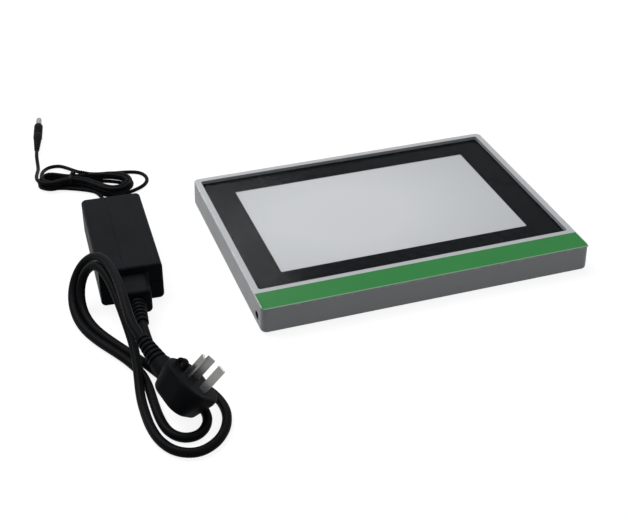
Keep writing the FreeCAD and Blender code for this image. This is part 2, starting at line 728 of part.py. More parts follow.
# Driver board on four posts, and what stands on it.
drv = cbox(board_x, switch_y, board_l, board_w, board_z, board_z + board_t)
drv = cut(drv, [cyl(1.0, 6, V(px, py, board_z - 2)) for px, py in stand_at])
save(drv, "driver_board")
bz = board_z + board_t
coil_x = board_x - 0.25 * board_l
coil = cyl(coil_r, coil_h, V(coil_x, switch_y, bz)).cut(cyl(coil_hole_r, coil_h + 2, V(coil_x, switch_y, bz - 1)))
cap_side = board_w / 2 - can_in
caps = []
for share, side in ((-0.075, -1), (0.0375, 1), (0.15, -1)):
    caps.append(cyl(can_r, can_h, V(board_x + share * board_l, switch_y + side * cap_side, bz)))
conn_left = board_x - board_l / 2 + conn_in
conn_right = board_x + board_l / 2 - conn_in
chips = [cbox(board_x + 0.27 * board_l, switch_y + board_w / 16, chip_l, chip_w, bz, bz + chip_h),
         cbox(board_x + 0.125 * board_l, switch_y + board_w / 3, chip_l / 2, chip_w / 2, bz, bz + chip_h * 0.7),
         cbox(conn_left, switch_y, conn_l, conn_w, bz, bz + conn_h),
         cbox(conn_right, switch_y, conn_l, conn_w, bz, bz + conn_h)]
save(Part.makeCompound([coil] + caps + chips), "driver_parts")
screws = []
for px, py in stand_at:
    h = cyl(1.8, 1.3, V(px, py, bz))
    h = h.makeFillet(0.4, level(h, bz + 1.3))
    screws.append(join([h, cyl(0.85, 4.2, V(px, py, bz - 4.2))]))
save(Part.makeCompound(screws), "board_screws")

wires = []
wire_low = cover_z1 + wire_up
jack_end = jack_wall_x + jack_body_l
board_left = conn_left - conn_l / 2
board_right = conn_right + conn_l / 2
blade_tip = term_x - terminal_l
wire_side = jack_body_w / 4.5
wire_z = wire_low + 1.2 * wire_d
conn_z = bz + conn_h / 2
wire_routes = []
for side, lane in ((-1, lane_near), (1, lane_far)):
    y0 = jack_y + side * wire_side
    y1 = switch_y + side * conn_w / 4
    wire_routes.append([(jack_end, y0, wire_z), (jack_end + wire_out, y0, wire_z),
                        (jack_end + wire_out + wire_bend, jack_y + lane, wire_low + wire_d),
                        (-0.44 * inner_x, jack_y + lane + 0.5 * wire_d, wire_low),
                        (0, jack_y + lane, wire_low + 0.2 * wire_d),
                        (board_left - wire_out - wire_bend, y1 + wire_d, conn_z - 0.5 * wire_d),
                        (board_left - wire_out, y1, conn_z), (board_left, y1, conn_z)])
for side, blade_y in ((0.0, 0.0), (1.5, blade_pitch)):
    y0 = switch_y + side * conn_w / 4
    y1 = switch_y + blade_y
    wire_routes.append([(board_right, y0, conn_z), (board_right + wire_out, y0, conn_z),
                        (blade_tip - wire_out, y1, switch_z), (blade_tip, y1, switch_z)])
for i, route in enumerate(wire_routes):
    wires.append(tube(route, wire_d, "wire " + str(i)))
save(Part.makeCompound(wires), "pad_wires")


# The adapter.
brick_spot = FreeCAD.Placement(brick_at, FreeCAD.Rotation(V(0, 0, 1), brick_turn))


def on_brick(shape):
    """Move a piece from the adapter's own axes into the row frame."""
    shape.Placement = brick_spot.multiply(shape.Placement)
    return shape


def block_c(xc, w, y0, y1, zc, h, r=0.0):
    """A block along Y, with its long edges rounded by r."""
    b = Part.makeBox(w, y1 - y0, h, V(xc - w / 2, y0, zc - h / 2))
    if r > 0:
        b = b.makeFillet(r, [e for e in b.Edges if e.BoundBox.YLength > (y1 - y0) * 0.9])
    return b


def socket_shape(w, h, bevel, y0, y1, zc):
    """The mains socket outline, two upper corners sloped, run along Y."""
    pts = [(-w / 2, -h / 2), (w / 2, -h / 2), (w / 2, h / 2 - bevel), (w / 2 - bevel, h / 2),
           (-w / 2 + bevel, h / 2), (-w / 2, h / 2 - bevel)]
    wire = Part.makePolygon([V(x, y0, zc + z) for x, z in pts + pts[:1]])
    return Part.Face(wire).extrude(V(0, y1 - y0, 0))


hull = Part.makeBox(brick_w, brick_l, brick_h - brick_foot_h, V(-brick_w / 2, 0, brick_foot_h))
long_edges = [e for e in hull.Edges if e.BoundBox.YLength > 10]
hull = hull.makeFillet(brick_edge_r, long_edges)
end_edges = [e for e in hull.Edges if e.BoundBox.YLength < 0.01]
hull = hull.makeFillet(brick_end_r, end_edges)
inside = block_c(0, brick_w - 2 * brick_wall, brick_wall, brick_l - brick_wall,
                 (brick_h + brick_foot_h) / 2, brick_h - brick_foot_h - 2 * brick_wall, 2.0)
shell = hull.cut(inside)
mouth = block_c(0, inlet_w, -1, brick_wall + 1, inlet_z, inlet_h)
gland = cyl(brick_exit_r, brick_wall + 2, V(0, brick_l - brick_wall - 1, inlet_z), V(0, 1, 0))
groove = block_c(-brick_w / 2 + brick_groove_at, brick_groove_w, 5, brick_l - 5,
                 brick_h, 2 * brick_groove_d)
seam_out = Part.makeBox(brick_w + 2, brick_l + 2, brick_seam_h,
                        V(-brick_w / 2 - 1, -1, brick_split - brick_seam_h / 2))
seam_in = Part.makeBox(brick_w - 2 * brick_seam_d, brick_l - 2 * brick_seam_d, brick_seam_h + 2,
                       V(-brick_w / 2 + brick_seam_d, brick_seam_d, brick_split - brick_seam_h / 2 - 1))
shell = cut(shell, [mouth, gland, groove, seam_out.cut(seam_in)])
below = Part.makeBox(3 * brick_w, 2 * brick_l, brick_split + brick_h,
                     V(-1.5 * brick_w, -brick_l / 2, -brick_h))
lower = shell.common(below).Solids[0]
upper = shell.cut(below).Solids[0]
lip_w = brick_wall - 0.9
lip_out = block_c(0, brick_w - 2 * (brick_wall - lip_w), brick_wall - lip_w, brick_l - brick_wall + lip_w,
                  brick_split + 0.5, 1.0 + 0.6, 0.0)
lip_in = block_c(0, brick_w - 2 * brick_wall, brick_wall, brick_l - brick_wall, brick_split + 0.5, 4.0, 0.0)
lip = lip_out.cut(lip_in)
lip = cut(lip, [block_c(0, inlet_w + 0.6, -1, brick_wall + 2, inlet_z, inlet_h),
                cyl(brick_exit_r + 0.3, brick_wall + 4, V(0, brick_l - brick_wall - 2, inlet_z),
                    V(0, 1, 0))])
upper = upper.cut(lip_out)
posts = []
cuts = []
brick_posts = [(-17.5, 32.0), (17.5, 32.0), (-17.5, 106.0), (17.5, 106.0)]
for x, y in brick_posts:
    posts.append(cyl(2.6, 5.2, V(x, y, brick_foot_h + brick_wall - 0.2)))
lower = join([lower, lip] + posts)
for x, y in ((-19.0, 8.0), (19.0, 8.0), (-19.0, 107.0), (19.0, 107.0)):
    cuts.append(cyl(brick_foot_r + 0.1, 0.6, V(x, y, brick_foot_h - 0.1)))
lower = cut(lower, cuts)
save(on_brick(lower), "adapter_bottom_shell")
ribs = []
for y in (38.0, 74.0):
    ribs.append(block_c(0, brick_w - 2 * brick_wall + 0.4, y - 0.6, y + 0.6,
                        brick_h - brick_wall - 0.6, 1.6))
upper = join([upper] + ribs)
save(on_brick(upper), "adapter_top_shell")
pads = [cyl(brick_foot_r, brick_foot_h + 0.5, V(x, y, 0))
        for x, y in ((-19.0, 8.0), (19.0, 8.0), (-19.0, 107.0), (19.0, 107.0))]
save(on_brick(Part.makeCompound(pads)), "adapter_feet")

inlet = block_c(0, inlet_w - 0.1, -inlet_proud, inlet_l, inlet_z, inlet_h - 0.1)
flange = block_c(0, inlet_w + 4, brick_wall + 0.05, brick_wall + inlet_flange, inlet_z, inlet_h + 3)
inlet = join([inlet, flange])
floor_y = recess_l - inlet_proud
inlet = inlet.cut(socket_shape(recess_w, recess_h, recess_cut, -2, floor_y, inlet_z))
pins = []
pin_spots = [(-inlet_pin_pitch, -inlet_pin_up / 2), (inlet_pin_pitch, -inlet_pin_up / 2),
             (0.0, inlet_pin_up / 2)]
for x, z in pin_spots:
    p = Part.makeBox(inlet_pin_t, inlet_pin_out + 8, inlet_pin_w,
                     V(x - inlet_pin_t / 2, floor_y - inlet_pin_out, inlet_z + z - inlet_pin_w / 2))
    tip = [e for e in p.Edges if e.BoundBox.YMax < floor_y - inlet_pin_out + 0.01]
    p = p.makeChamfer(0.6, tip)
    pins.append(p)
    inlet = inlet.cut(Part.makeBox(inlet_pin_t, 10, inlet_pin_w,
                                   V(x - inlet_pin_t / 2, floor_y - 1, inlet_z + z - inlet_pin_w / 2)))
save(on_brick(inlet.Solids[0]), "inlet_housing")
save(on_brick(Part.makeCompound(pins)), "inlet_pins")

# Circuit board and its large parts.
ab_z = brick_foot_h + brick_wall + 5.0
ab = Part.makeBox(43.0, 84.0, 1.6, V(-21.5, 27.0, ab_z))
save(on_brick(ab), "adapter_board")
az = ab_z + 1.6
core = Part.makeBox(24.0, 20.0, 17.0, V(-12.0, 62.0, az))
core = core.makeFillet(1.0, upright(core))
core = cut(core, [Part.makeBox(5.0, 22.0, 11.0, V(-12.5, 61.0, az + 3)),
                  Part.makeBox(5.0, 22.0, 11.0, V(7.5, 61.0, az + 3))])
winding = Part.makeBox(23.0, 14.0, 10.4, V(-11.5, 65.0, az + 3.3))
winding = winding.cut(Part.makeBox(15.0, 30.0, 30.0, V(-7.5, 60.0, az - 2)))
winding = Part.makeCompound(winding.Solids)
save(on_brick(core), "adapter_transformer_core")
save(on_brick(winding), "adapter_winding")
cans = [cyl(7.5, 18.0, V(-12.0, 48.0, az)), cyl(4.0, 12.0, V(-15.5, 92.0, az)),
        cyl(4.0, 12.0, V(-6.5, 94.0, az)), cyl(5.0, 5.0, V(14.0, 34.0, az))]
cans.append(Part.makeBox(13.0, 6.0, 11.0, V(-14.0, 29.0, az)))
save(on_brick(Part.makeCompound(cans)), "adapter_capacitors")
sinks = []
for x, y0, y1 in ((16.5, 42.0, 62.0), (14.5, 86.0, 104.0)):
    sinks.append(Part.makeBox(1.6, y1 - y0, 18.0, V(x, y0, az)))
    sinks.append(Part.makeBox(4.6, 10.0, 14.0, V(x - 4.6, y0 + 4, az)))
save(on_brick(Part.makeCompound(sinks)), "adapter_heatsinks")

boot = cone(dc_exit_r0, dc_exit_r1, dc_exit_l, V(0, brick_l, inlet_z), V(0, 1, 0))
boot = join([boot, cyl(dc_exit_r0, brick_wall + 0.1, V(0, brick_l - brick_wall, inlet_z), V(0, 1, 0)),
             cyl(dc_exit_r0 + 1.6, 2.0, V(0, brick_l - brick_wall - 2.0, inlet_z), V(0, 1, 0))])
rings = []
for i in range(4):
    y = brick_l + 2.6 + i * 2.5
    r = dc_exit_r0 - (dc_exit_r0 - dc_exit_r1) * (y - brick_l + 0.6) / dc_exit_l
    ring = cyl(r + 2, 1.2, V(0, y, inlet_z), V(0, 1, 0))
    rings.append(ring.cut(cyl(r - 0.7, 1.2, V(0, y, inlet_z), V(0, 1, 0))))
save(on_brick(cut(boot, rings)), "adapter_boot")

# The mains connector.
nose = socket_shape(recess_w - 2 * nose_gap, recess_h - 2 * nose_gap, recess_cut - 0.1,
                    -inlet_proud - 0.6, nose_l - 0.4, inlet_z)
for x, z in pin_spots:
    nose = nose.cut(Part.makeBox(inlet_pin_t + 2 * slot_gap, 13.0, inlet_pin_w + 2 * slot_gap,
                                 V(x - inlet_pin_t / 2 - slot_gap, floor_y - inlet_pin_out - 0.8,
                                   inlet_z + z - inlet_pin_w / 2 - slot_gap)))
grip_y1 = -inlet_proud - nose_gap
grip = block_c(0, grip_w, grip_y1 - grip_l, grip_y1, inlet_z, grip_h)
grip = grip.makeFillet(4.0, [e for e in grip.Edges if e.BoundBox.YLength > 5])
grip = grip.makeFillet(2.4, [e for e in grip.Edges if e.BoundBox.YMax < grip_y1 - grip_l + 0.01])
flutes = []
for side in (-1, 1):
    for i in range(4):
        y = grip_y1 - 6 - i * 3.6
        x0 = grip_w / 2 - 0.9 if side > 0 else -grip_w / 2 - 2
        flutes.append(Part.makeBox(2.9, 1.6, 11.0, V(x0, y - 0.8, inlet_z - 5.5)))
grip = cut(grip, flutes)


def ribbed(r0, r1, length, at, way, n, deep, wide):
    """A tapering relief with ring grooves, from at along way."""
    s = cone(r0, r1, length, at, way)
    pitch = (length - 3.0) / n
    rings = []
    for i in range(n):
        d = 2.2 + i * pitch
        r = r0 + (r1 - r0) * (d + wide / 2) / length
        p = at + way * d
        rings.append(cyl(r + 2, wide, p, way).cut(cyl(r - deep, wide, p, way)))
    return cut(s, rings)


relief_y = grip_y1 - grip_l
relief_end = -math.hypot(mains_route[0][0] - brick_at.x, mains_route[0][1] - brick_at.y)
relief = ribbed(relief_r0, relief_r1, relief_y - relief_end + 2.0, V(0, relief_y + 2.0, inlet_z),
                V(0, -1, 0), 6, 1.3, 1.9)
save(on_brick(join([nose, grip, relief])), "mains_connector")

# Mains plug.
plug_c.normalize()
plug_l = plug_n.cross(plug_c).normalize()
plug_n = plug_c.cross(plug_l).normalize()
m = FreeCAD.Matrix(plug_c.x, plug_l.x, plug_n.x, plug_at.x,
                   plug_c.y, plug_l.y, plug_n.y, plug_at.y,
                   plug_c.z, plug_l.z, plug_n.z, plug_at.z,
                   0, 0, 0, 1)
plug_spot = FreeCAD.Placement(m)


def on_plug(shape):
    """Move a piece from the plug's axes (cord, across, pins) into the row frame."""
    shape.Placement = plug_spot.multiply(shape.Placement)
    return shape


def plug_outline(inset, z, r):
    """Rounded outline of the plug at one height."""
    b = Part.makeBox(plug_fore + plug_aft - 2 * inset, 2 * plug_half - 2 * inset, 1,
                     V(-plug_aft + inset, -plug_half + inset, z))
    b = b.makeFillet(r, [e for e in b.Edges if e.BoundBox.ZLength > 0.5])
    for f in b.Faces:
        if abs(f.BoundBox.ZMax - z) < 1e-6:
            return f.OuterWire


top_wire = plug_outline(0, -plug_face_t, 15.0)
low_wire = plug_outline(plug_taper, -plug_deep, 11.0)
body = Part.makeLoft([low_wire, top_wire], True, True)
body = join([body, Part.Face(top_wire).extrude(V(0, 0, plug_face_t))])
body = body.makeFillet(plug_edge_r, level(body, 0))
body = body.makeFillet(3.5, level(body, -plug_deep))
neck = cone(8.6, plug_relief_r0 + 0.6, plug_relief_0 - 10.0, V(-10.0, 0, -plug_axis), V(-1, 0, 0))
relief = ribbed(plug_relief_r0, plug_relief_r1, plug_relief_1 - plug_relief_0,
                V(-plug_relief_0, 0, -plug_axis), V(-1, 0, 0), 6, 1.3, 1.9)
eye_z = eye_hole_r + 0.3
eye = cyl(eye_hole_r + eye_ring, eye_t, V(eye_x, eye_y - eye_t / 2, eye_z), V(0, 1, 0))
eye = join([eye, Part.makeBox(2 * (eye_hole_r + eye_ring), eye_t, eye_z + 1.0,
                              V(eye_x - eye_hole_r - eye_ring, eye_y - eye_t / 2, -1.0))])
body = join([body, neck, relief, eye])
body = body.cut(cyl(eye_hole_r, eye_t + 2, V(eye_x, eye_y - eye_t / 2 - 1, eye_z), V(0, 1, 0)))
blades = []
for side in (-1, 1):
    b = Part.makeBox(blade_w, blade_t, blade_l + blade_root, V(-blade_w / 2, -blade_t / 2, -blade_root))
    b = b.makeChamfer(0.5, level(b, blade_l))
    toe = FreeCAD.Rotation(V(0, 0, 1), side * blade_toe)
    b.Placement = FreeCAD.Placement(V(blade_x, side * blade_y, 0), toe)
    blades.append(b)
b = Part.makeBox(blade_w, blade_t, earth_l + blade_root, V(earth_x - blade_w / 2, -blade_t / 2, -blade_root))
blades.append(b.makeChamfer(0.5, level(b, earth_l)))
body = cut(body, [b.copy() for b in blades])
save(on_plug(body), "mains_plug_body")
save(on_plug(Part.makeCompound(blades)), "mains_plug_pins")

lead_end = plug_spot.multVec(V(-plug_relief_1, 0, -plug_axis))
lead_pre = plug_spot.multVec(V(-plug_relief_1 - 13.0, 0, -plug_axis))
mains_route.append((lead_pre.x, lead_pre.y, lead_pre.z))
mains_route.append((lead_end.x, lead_end.y, lead_end.z))
save(tube(mains_route, mains_d, "mains lead"), "mains_lead")

# The low-voltage lead.
curve = Part.BSplineCurve()
curve.interpolate([V(x, y, hank_floor) for x, y in hank_outline], PeriodicFlag=True)
hank = Part.Face(Part.Wire(curve.toShape())).extrude(V(0, 0, hank_h))
rims = level(hank, hank_floor + hank_h) + level(hank, hank_floor)
hank = hank.makeFillet(hank_edge_r, rims)
loops = [tube(hank_loop_left, dc_d, "left loop"), tube(hank_loop_right, dc_d, "right loop")]
save(cut(tube(dc_in_route, dc_d, "dc lead, first part"), [hank]), "dc_lead")
save(cut(tube(dc_out_route, dc_d, "dc lead, last part"), [hank]), "dc_lead_end")
hank = save(hank.fuse(loops).Solids[0], "dc_hank")
tie_out = block_c(0, tie_span + 2 * tie_t, -tie_w / 2, tie_w / 2,
                  hank_floor + hank_h / 2, hank_h + 2 * tie_t, tie_r + tie_t)
tie_in = block_c(0, tie_span, -tie_w / 2 - 1, tie_w / 2 + 1, hank_floor + hank_h / 2, hank_h, tie_r)
tie = tie_out.cut(tie_in)
tie.Placement = FreeCAD.Placement(tie_at, FreeCAD.Rotation(V(0, 0, 1), 90 + tie_turn))
save(cut(tie, [hank]), "hank_tie")

dc_plug_dir.normalize()
at = V(*dc_out_route[-1])
way = dc_plug_dir
relief = ribbed(dc_d / 2 + 0.7, dc_plug_r - 0.3, dc_plug_relief_l, at, way, 6, 0.5, 1.2)
at = at + way * dc_plug_relief_l
grip = cyl(dc_plug_r, dc_plug_l, at, way)
grip = grip.makeFillet(0.8, [e for e in grip.Edges if e.Closed or e.Length > 2 * dc_plug_r * 3])
rings = []
for i in range(5):
    p = at + way * (6.0 + i * 3.0)
    rings.append(cyl(dc_plug_r + 1, 1.2, p, way).cut(cyl(dc_plug_r - 0.5, 1.2, p, way)))
grip = cut(grip, rings)
save(join([relief, grip]), "dc_plug_body")
at = at + way * dc_plug_l
barrel = cyl(barrel_r, barrel_l, at, way).cut(cyl(barrel_bore_r, barrel_l, at, way))
save(barrel, "dc_plug_barrel")
sleeve = cyl(barrel_bore_r, barrel_l, at, way)
collar = cyl(tip_r, tip_l, at + way * barrel_l, way)
sleeve = join([sleeve, collar])
sleeve = sleeve.cut(cyl(contact_r, barrel_l + tip_l + 2, at + way * -1.0, way))
save(sleeve, "dc_plug_insulator")
contact = cyl(contact_r, barrel_l + tip_l - 0.8, at, way)
contact = contact.cut(cyl(tip_hole_r, barrel_l + 4, at + way * 1.0, way))
save(contact, "dc_plug_contact")
print("plug tip", at + way * (barrel_l + tip_l))
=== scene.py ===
"""Looks of a white light pad with its mains adapter, plugs and leads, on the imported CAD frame."""
import json
import math

import bpy
from mathutils import Matrix, Vector


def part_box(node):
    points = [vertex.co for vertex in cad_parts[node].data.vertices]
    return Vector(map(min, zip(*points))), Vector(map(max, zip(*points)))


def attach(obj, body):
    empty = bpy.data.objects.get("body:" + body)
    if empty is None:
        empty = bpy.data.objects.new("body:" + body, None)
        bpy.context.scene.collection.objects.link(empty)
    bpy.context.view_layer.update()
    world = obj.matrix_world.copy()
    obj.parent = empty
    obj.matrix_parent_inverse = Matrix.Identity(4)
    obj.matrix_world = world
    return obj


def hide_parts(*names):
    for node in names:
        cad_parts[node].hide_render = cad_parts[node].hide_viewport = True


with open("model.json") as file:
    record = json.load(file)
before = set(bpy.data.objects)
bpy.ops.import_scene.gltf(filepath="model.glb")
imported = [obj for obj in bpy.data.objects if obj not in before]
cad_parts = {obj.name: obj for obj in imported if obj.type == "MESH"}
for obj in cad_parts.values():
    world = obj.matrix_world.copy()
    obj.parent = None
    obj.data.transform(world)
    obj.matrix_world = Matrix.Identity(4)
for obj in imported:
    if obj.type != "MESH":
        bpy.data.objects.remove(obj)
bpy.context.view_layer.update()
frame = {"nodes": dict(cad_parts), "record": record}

BASE = "pad_and_adapter"
MAINS = "mains_cord"
MM = 0.001

# Camera, solved from the photograph; degrees, metres and millimetres of lens.
VIEW_AZIMUTH = -18.923
VIEW_ELEVATION = 33.190
VIEW_DISTANCE = 1.01776
VIEW_TARGET = Vector((-0.06882, -0.02047, 0.0012))
VIEW_LENS = 70.10
VIEW_SENSOR = 36

# Light: name, place, aim, size in metres, power in watts.
LIGHTS = [
    ("key_light", (-0.95, 0.9, 2.0), (0, 0, 0), 1.6, 54.5),
    ("fill_light", (0.3, 0.7, 2.2), (0, 0, 0), 1.4, 16.0),
    ("front_light", (0.5, -1.5, 1.6), (0, 0, 0), 0.9, 8.5),
    ("sheen_light", (0.17, 1.61, 1.22), (-0.1, 0, 0), 0.5, 3.8),
]
AMBIENT = 0.20
FLOOR_HALF = 4.0
FLOOR_DROP = 0.00005
FLOOR_TONE = 0.14
FLOOR_GLOW = 0.88

# Cord sizes and routes, in millimetres; lengths in metres.
MAINS_DIAMETER = 7.0
DC_DIAMETER = 3.4
MAINS_ROUTE = [
    (-226.21, -83.32, 16.9), (-226.97, -96.9, 16.9), (-225.8, -110.0, 11.5),
    (-220.0, -123.0, 5.4), (-210.0, -137.5, 3.5), (-200.0, -152.0, 3.5),
    (-192.2, -168.0, 3.5), (-189.5, -185.0, 3.5), (-194.0, -202.0, 3.5),
    (-204.5, -215.5, 3.5), (-219.0, -221.8, 3.5), (-233.0, -216.0, 3.5),
    (-241.0, -202.5, 3.5), (-244.0, -186.0, 3.5), (-244.3, -169.0, 3.5),
    (-243.6, -151.0, 4.5), (-240.5, -131.0, 11.0), (-238.4, -112.0, 17.0),
    (-239.0, -94.5, 23.4), (-240.3, -74.3, 30.2), (-241.9, -55.5, 36.4),
    (-245.0, -39.2, 40.6), (-250.3, -27.4, 39.9), (-257.0, -20.6, 30.8),
    (-262.2, -22.5, 18.9), (-264.3, -32.1, 9.6), (-262.9, -46.3, 4.7),
    (-258.5, -62.3, 3.5), (-250.8, -79.0, 3.5), (-241.9, -96.0, 3.5),
    (-232.9, -113.0, 3.5), (-225.0, -131.0, 3.5), (-216.5, -148.0, 3.5),
    (-208.5, -164.5, 3.5), (-203.6, -181.0, 3.5), (-205.2, -194.0, 3.5),
    (-213.5, -204.3, 3.5), (-225.0, -204.6, 3.5), (-233.2, -195.5, 3.5),
    (-236.0, -180.5, 3.5), (-236.0, -160.0, 3.5), (-235.4, -142.0, 3.5),
    (-236.8, -126.0, 3.5), (-242.3, -110.5, 3.8), (-250.5, -94.9, 4.2),
    (-259.5, -78.0, 3.6), (-266.8, -60.0, 3.5), (-270.6, -41.5, 5.1),
    (-270.2, -24.4, 10.4), (-265.1, -12.5, 20.1), (-256.4, -9.8, 32.4),
    (-247.5, -19.2, 43.0), (-241.6, -35.5, 47.4), (-239.2, -57.4, 47.8),
    (-238.6, -79.6, 46.2), (-239.2, -99.0, 43.4), (-239.0, -114.3, 39.6),
    (-235.2, -126.2, 35.9),
]
DC_IN_ROUTE = [
    (-216.13, 96.4, 16.9), (-215.54, 106.98, 16.9), (-216.0, 118.5, 9.6),
    (-217.0, 129.0, 5.0), (-217.8, 140.0, 3.4), (-221.5, 151.0, 2.8),
]
DC_OUT_ROUTE = [
    (-257.2, 164.6, 9.2), (-264.8, 167.8, 9.0), (-268.4, 176.6, 8.2),
    (-267.6, 188.6, 6.4), (-265.3, 199.0, 4.0), (-263.2, 209.5, 2.0),
    (-262.3, 221.5, 2.1), (-261.378, 232.907, 4.4), (-259.441, 243.735, 4.4),
]

# The tied bundle of the thin lead, in millimetres. Its outline runs clockwise from the left end.
HANK_OUTLINE = [
    (-269.2, 174.5), (-265.2, 184.4), (-256.0, 188.0), (-247.0, 184.2),
    (-238.0, 177.6), (-226.0, 175.6), (-212.0, 173.5), (-198.0, 169.0),
    (-187.0, 161.0), (-182.5, 149.0), (-187.5, 137.0), (-199.5, 131.5),
    (-212.0, 135.5), (-221.0, 147.0), (-230.0, 159.5), (-239.5, 165.6),
    (-248.5, 163.8), (-257.4, 162.2), (-265.6, 165.6),
]
HANK_LOOP_LEFT = [
    (-262.3, 171.2, 9.2), (-264.2, 178.8, 8.6), (-262.4, 189.5, 7.0), (-259.2, 200.5, 4.2),
    (-253.0, 209.6, 2.0), (-243.8, 209.6, 1.9), (-237.6, 200.0, 3.4), (-232.8, 188.0, 6.0),
    (-226.5, 177.0, 8.2), (-216.0, 170.0, 8.6),
]
HANK_LOOP_RIGHT = [
    (-236.8, 174.6, 2.7), (-223.5, 178.8, 2.5), (-210.3, 180.6, 2.2), (-196.7, 179.0, 1.9),
    (-184.8, 177.0, 1.9), (-175.2, 173.0, 1.9), (-170.6, 164.5, 1.9), (-171.2, 154.5, 1.9),
    (-177.0, 146.5, 1.9), (-185.8, 141.0, 2.2), (-195.0, 136.5, 2.6),
]
HANK_FLOOR = 0.9
# For each turn: how far it is drawn in, the same round the wide end, and its layer.
HANK_TURNS = [
    (1.7, 1.7, 0), (5.1, 9.0, 0), (1.7, 3.2, 1), (5.1, 7.0, 1), (5.1, 8.5, 2), (1.7, 4.5, 2),
]
HANK_WIDE_CORNER = 9.5
HANK_WIDE_REACH = 5.0
HANK_EASE_CORNERS = 4
HANK_WANDER = 0.4
HANK_WANDER_STEP = 1.7
HANK_WANDER_SHIFT = 2.1
HANK_WANDER_LEAST = 0.3

# The wire tie: its place on the bundle and its sizes, in millimetres; Turns counts whole turns.
TIE_AT = (-237.5, 170.9)
TIE_TURN = -21.0
TIE_ACROSS = (-7.3, 7.7)
TIE_HEIGHT = (0.6, 11.5)
TIE_TAIL = [(0.0, 0.5, 12.0), (1.5, 2.2, 13.0), (5.5, 4.0, 13.0), (10.0, 4.6, 12.4), (14.0, 3.4, 12.2)]
TIE_BAND_SIZES = {"Strip Width": 3.6, "Strip Thickness": 0.5, "Core Radius": 0.55,
                  "Corner Radius": 2.2, "Step": 0.4, "Turns": 0.0}
TIE_TWIST_SIZES = {"Strip Width": 2.3, "Strip Thickness": 0.9, "Core Radius": 0.6,
                   "Corner Radius": 6.0, "Step": 0.25, "Turns": 3.5}
TIE_CORNER_STEPS = 6
TIE_CORE_SIDES = 10

# Scales of surface noise, in features per metre, and bump depths in metres.
DRIFT_SCALE = 28.0
SHEEN_SCALE = 90.0
SMEAR_SCALE = 14.0
HAZE_SCALE = 60.0
WEAR_AND_HIGHLIGHT_SCALE = 140.0
FILM_GRAIN = 900.0
GRAIN_DEPTH = 0.0002
STREAK_DEPTH = 0.0001
SHEEN_SPREAD = 0.06

# Boxes whose edges are lightened, as wear from handling and as a painted highlight, in metres: centre, half
# sizes, turn, width of the lightened strip.
CASE_LOW, CASE_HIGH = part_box("top_case")
CASE_CENTRE = [(a + b) / 2 for a, b in zip(CASE_LOW, CASE_HIGH)]
CASE_HALF = [(b - a) / 2 for a, b in zip(CASE_LOW, CASE_HIGH)]
BRICK_TURN = math.radians(-3.21)
BRICK_HALF = (0.025, 0.0575, 0.0169)
BRICK_FRONT = (-0.2233, -0.0314)
BRICK_CENTRE = (BRICK_FRONT[0] - math.sin(BRICK_TURN) * BRICK_HALF[1],
                BRICK_FRONT[1] + math.cos(BRICK_TURN) * BRICK_HALF[1], BRICK_HALF[2])
CASE_WEAR_AND_HIGHLIGHT = (CASE_CENTRE, CASE_HALF, 0.0, 0.0028)
BRICK_WEAR_AND_HIGHLIGHT = (BRICK_CENTRE, BRICK_HALF, BRICK_TURN, 0.0022)
# The outer share of that strip that is lightened whole, and the noise values between which it breaks up.
WEAR_AND_HIGHLIGHT_INNER = 0.3
WEAR_AND_HIGHLIGHT_BREAK = (0.47, 0.62)

# The window's brighter centre, painted light with painted shade towards its edges: its shift to the left and
# its reach, in metres.
PAINTED_LIGHT_SHIFT = -0.03
PAINTED_LIGHT_REACH = (0.21, 0.16, 1.0)


# Materials.
def new_material(name):
    """An empty node material with its principled shader and output."""
    mat = bpy.data.materials.new(name)
    mat.use_nodes = True
    nodes = mat.node_tree.nodes
    return mat, nodes, mat.node_tree.links, nodes["Principled BSDF"]


def object_coordinates(nodes, links):
    """Object coordinates through a mapping node, which is returned."""
    coord = nodes.new("ShaderNodeTexCoord")
    mapping = nodes.new("ShaderNodeMapping")
    links.new(coord.outputs["Object"], mapping.inputs["Vector"])
    return mapping


def object_noise(nodes, links, scale, detail=3.0, roughness=0.5, stretch=(1, 1, 1)):
    """A noise value on object coordinates; scale is in features per metre."""
    mapping = object_coordinates(nodes, links)
    mapping.inputs["Scale"].default_value = stretch
    noise = nodes.new("ShaderNodeTexNoise")
    noise.inputs["Scale"].default_value = scale
    noise.inputs["Detail"].default_value = detail
    noise.inputs["Roughness"].default_value = roughness
    links.new(mapping.outputs["Vector"], noise.inputs["Vector"])
    return noise.outputs["Fac"]


def ramp(nodes, links, source, low, high, at=(0.3, 0.7)):
    """A colour ramp between two colours, driven by source."""
    node = nodes.new("ShaderNodeValToRGB")
    for element, place, colour in zip(node.color_ramp.elements, at, (low, high)):
        element.position = place
        element.color = (*colour, 1)
    links.new(source, node.inputs["Fac"])
    return node.outputs["Color"]


def two_colours(nodes, links, factor, first, second):
    """Goes from a linked colour to a set one as factor goes from 0 to 1."""
    node = nodes.new("ShaderNodeMix")
    node.data_type = "RGBA"
    node.inputs["B"].default_value = (*second, 1)
    links.new(factor, node.inputs["Factor"])
    links.new(first, node.inputs["A"])
    return node.outputs["Result"]


def to_range(nodes, links, source, low, high):
    """Maps a 0..1 value to low..high."""
    node = nodes.new("ShaderNodeMapRange")
    node.inputs["To Min"].default_value = low
    node.inputs["To Max"].default_value = high
    links.new(source, node.inputs["Value"])
    return node.outputs["Result"]


def from_range(nodes, links, source, low, high):
    """Maps low..high to 0..1."""
    node = nodes.new("ShaderNodeMapRange")
    node.inputs["From Min"].default_value = low
    node.inputs["From Max"].default_value = high
    links.new(source, node.inputs["Value"])
    return node.outputs["Result"]


def two_values(nodes, links, operation, first, second):
    """One math node on two linked values, or on a value and a number."""
    node = nodes.new("ShaderNodeMath")
    node.operation = operation
    for socket, value in zip(node.inputs, (first, second)):
        if isinstance(value, float):
            socket.default_value = value
        else:
            links.new(value, socket)
    return node.outputs[0]


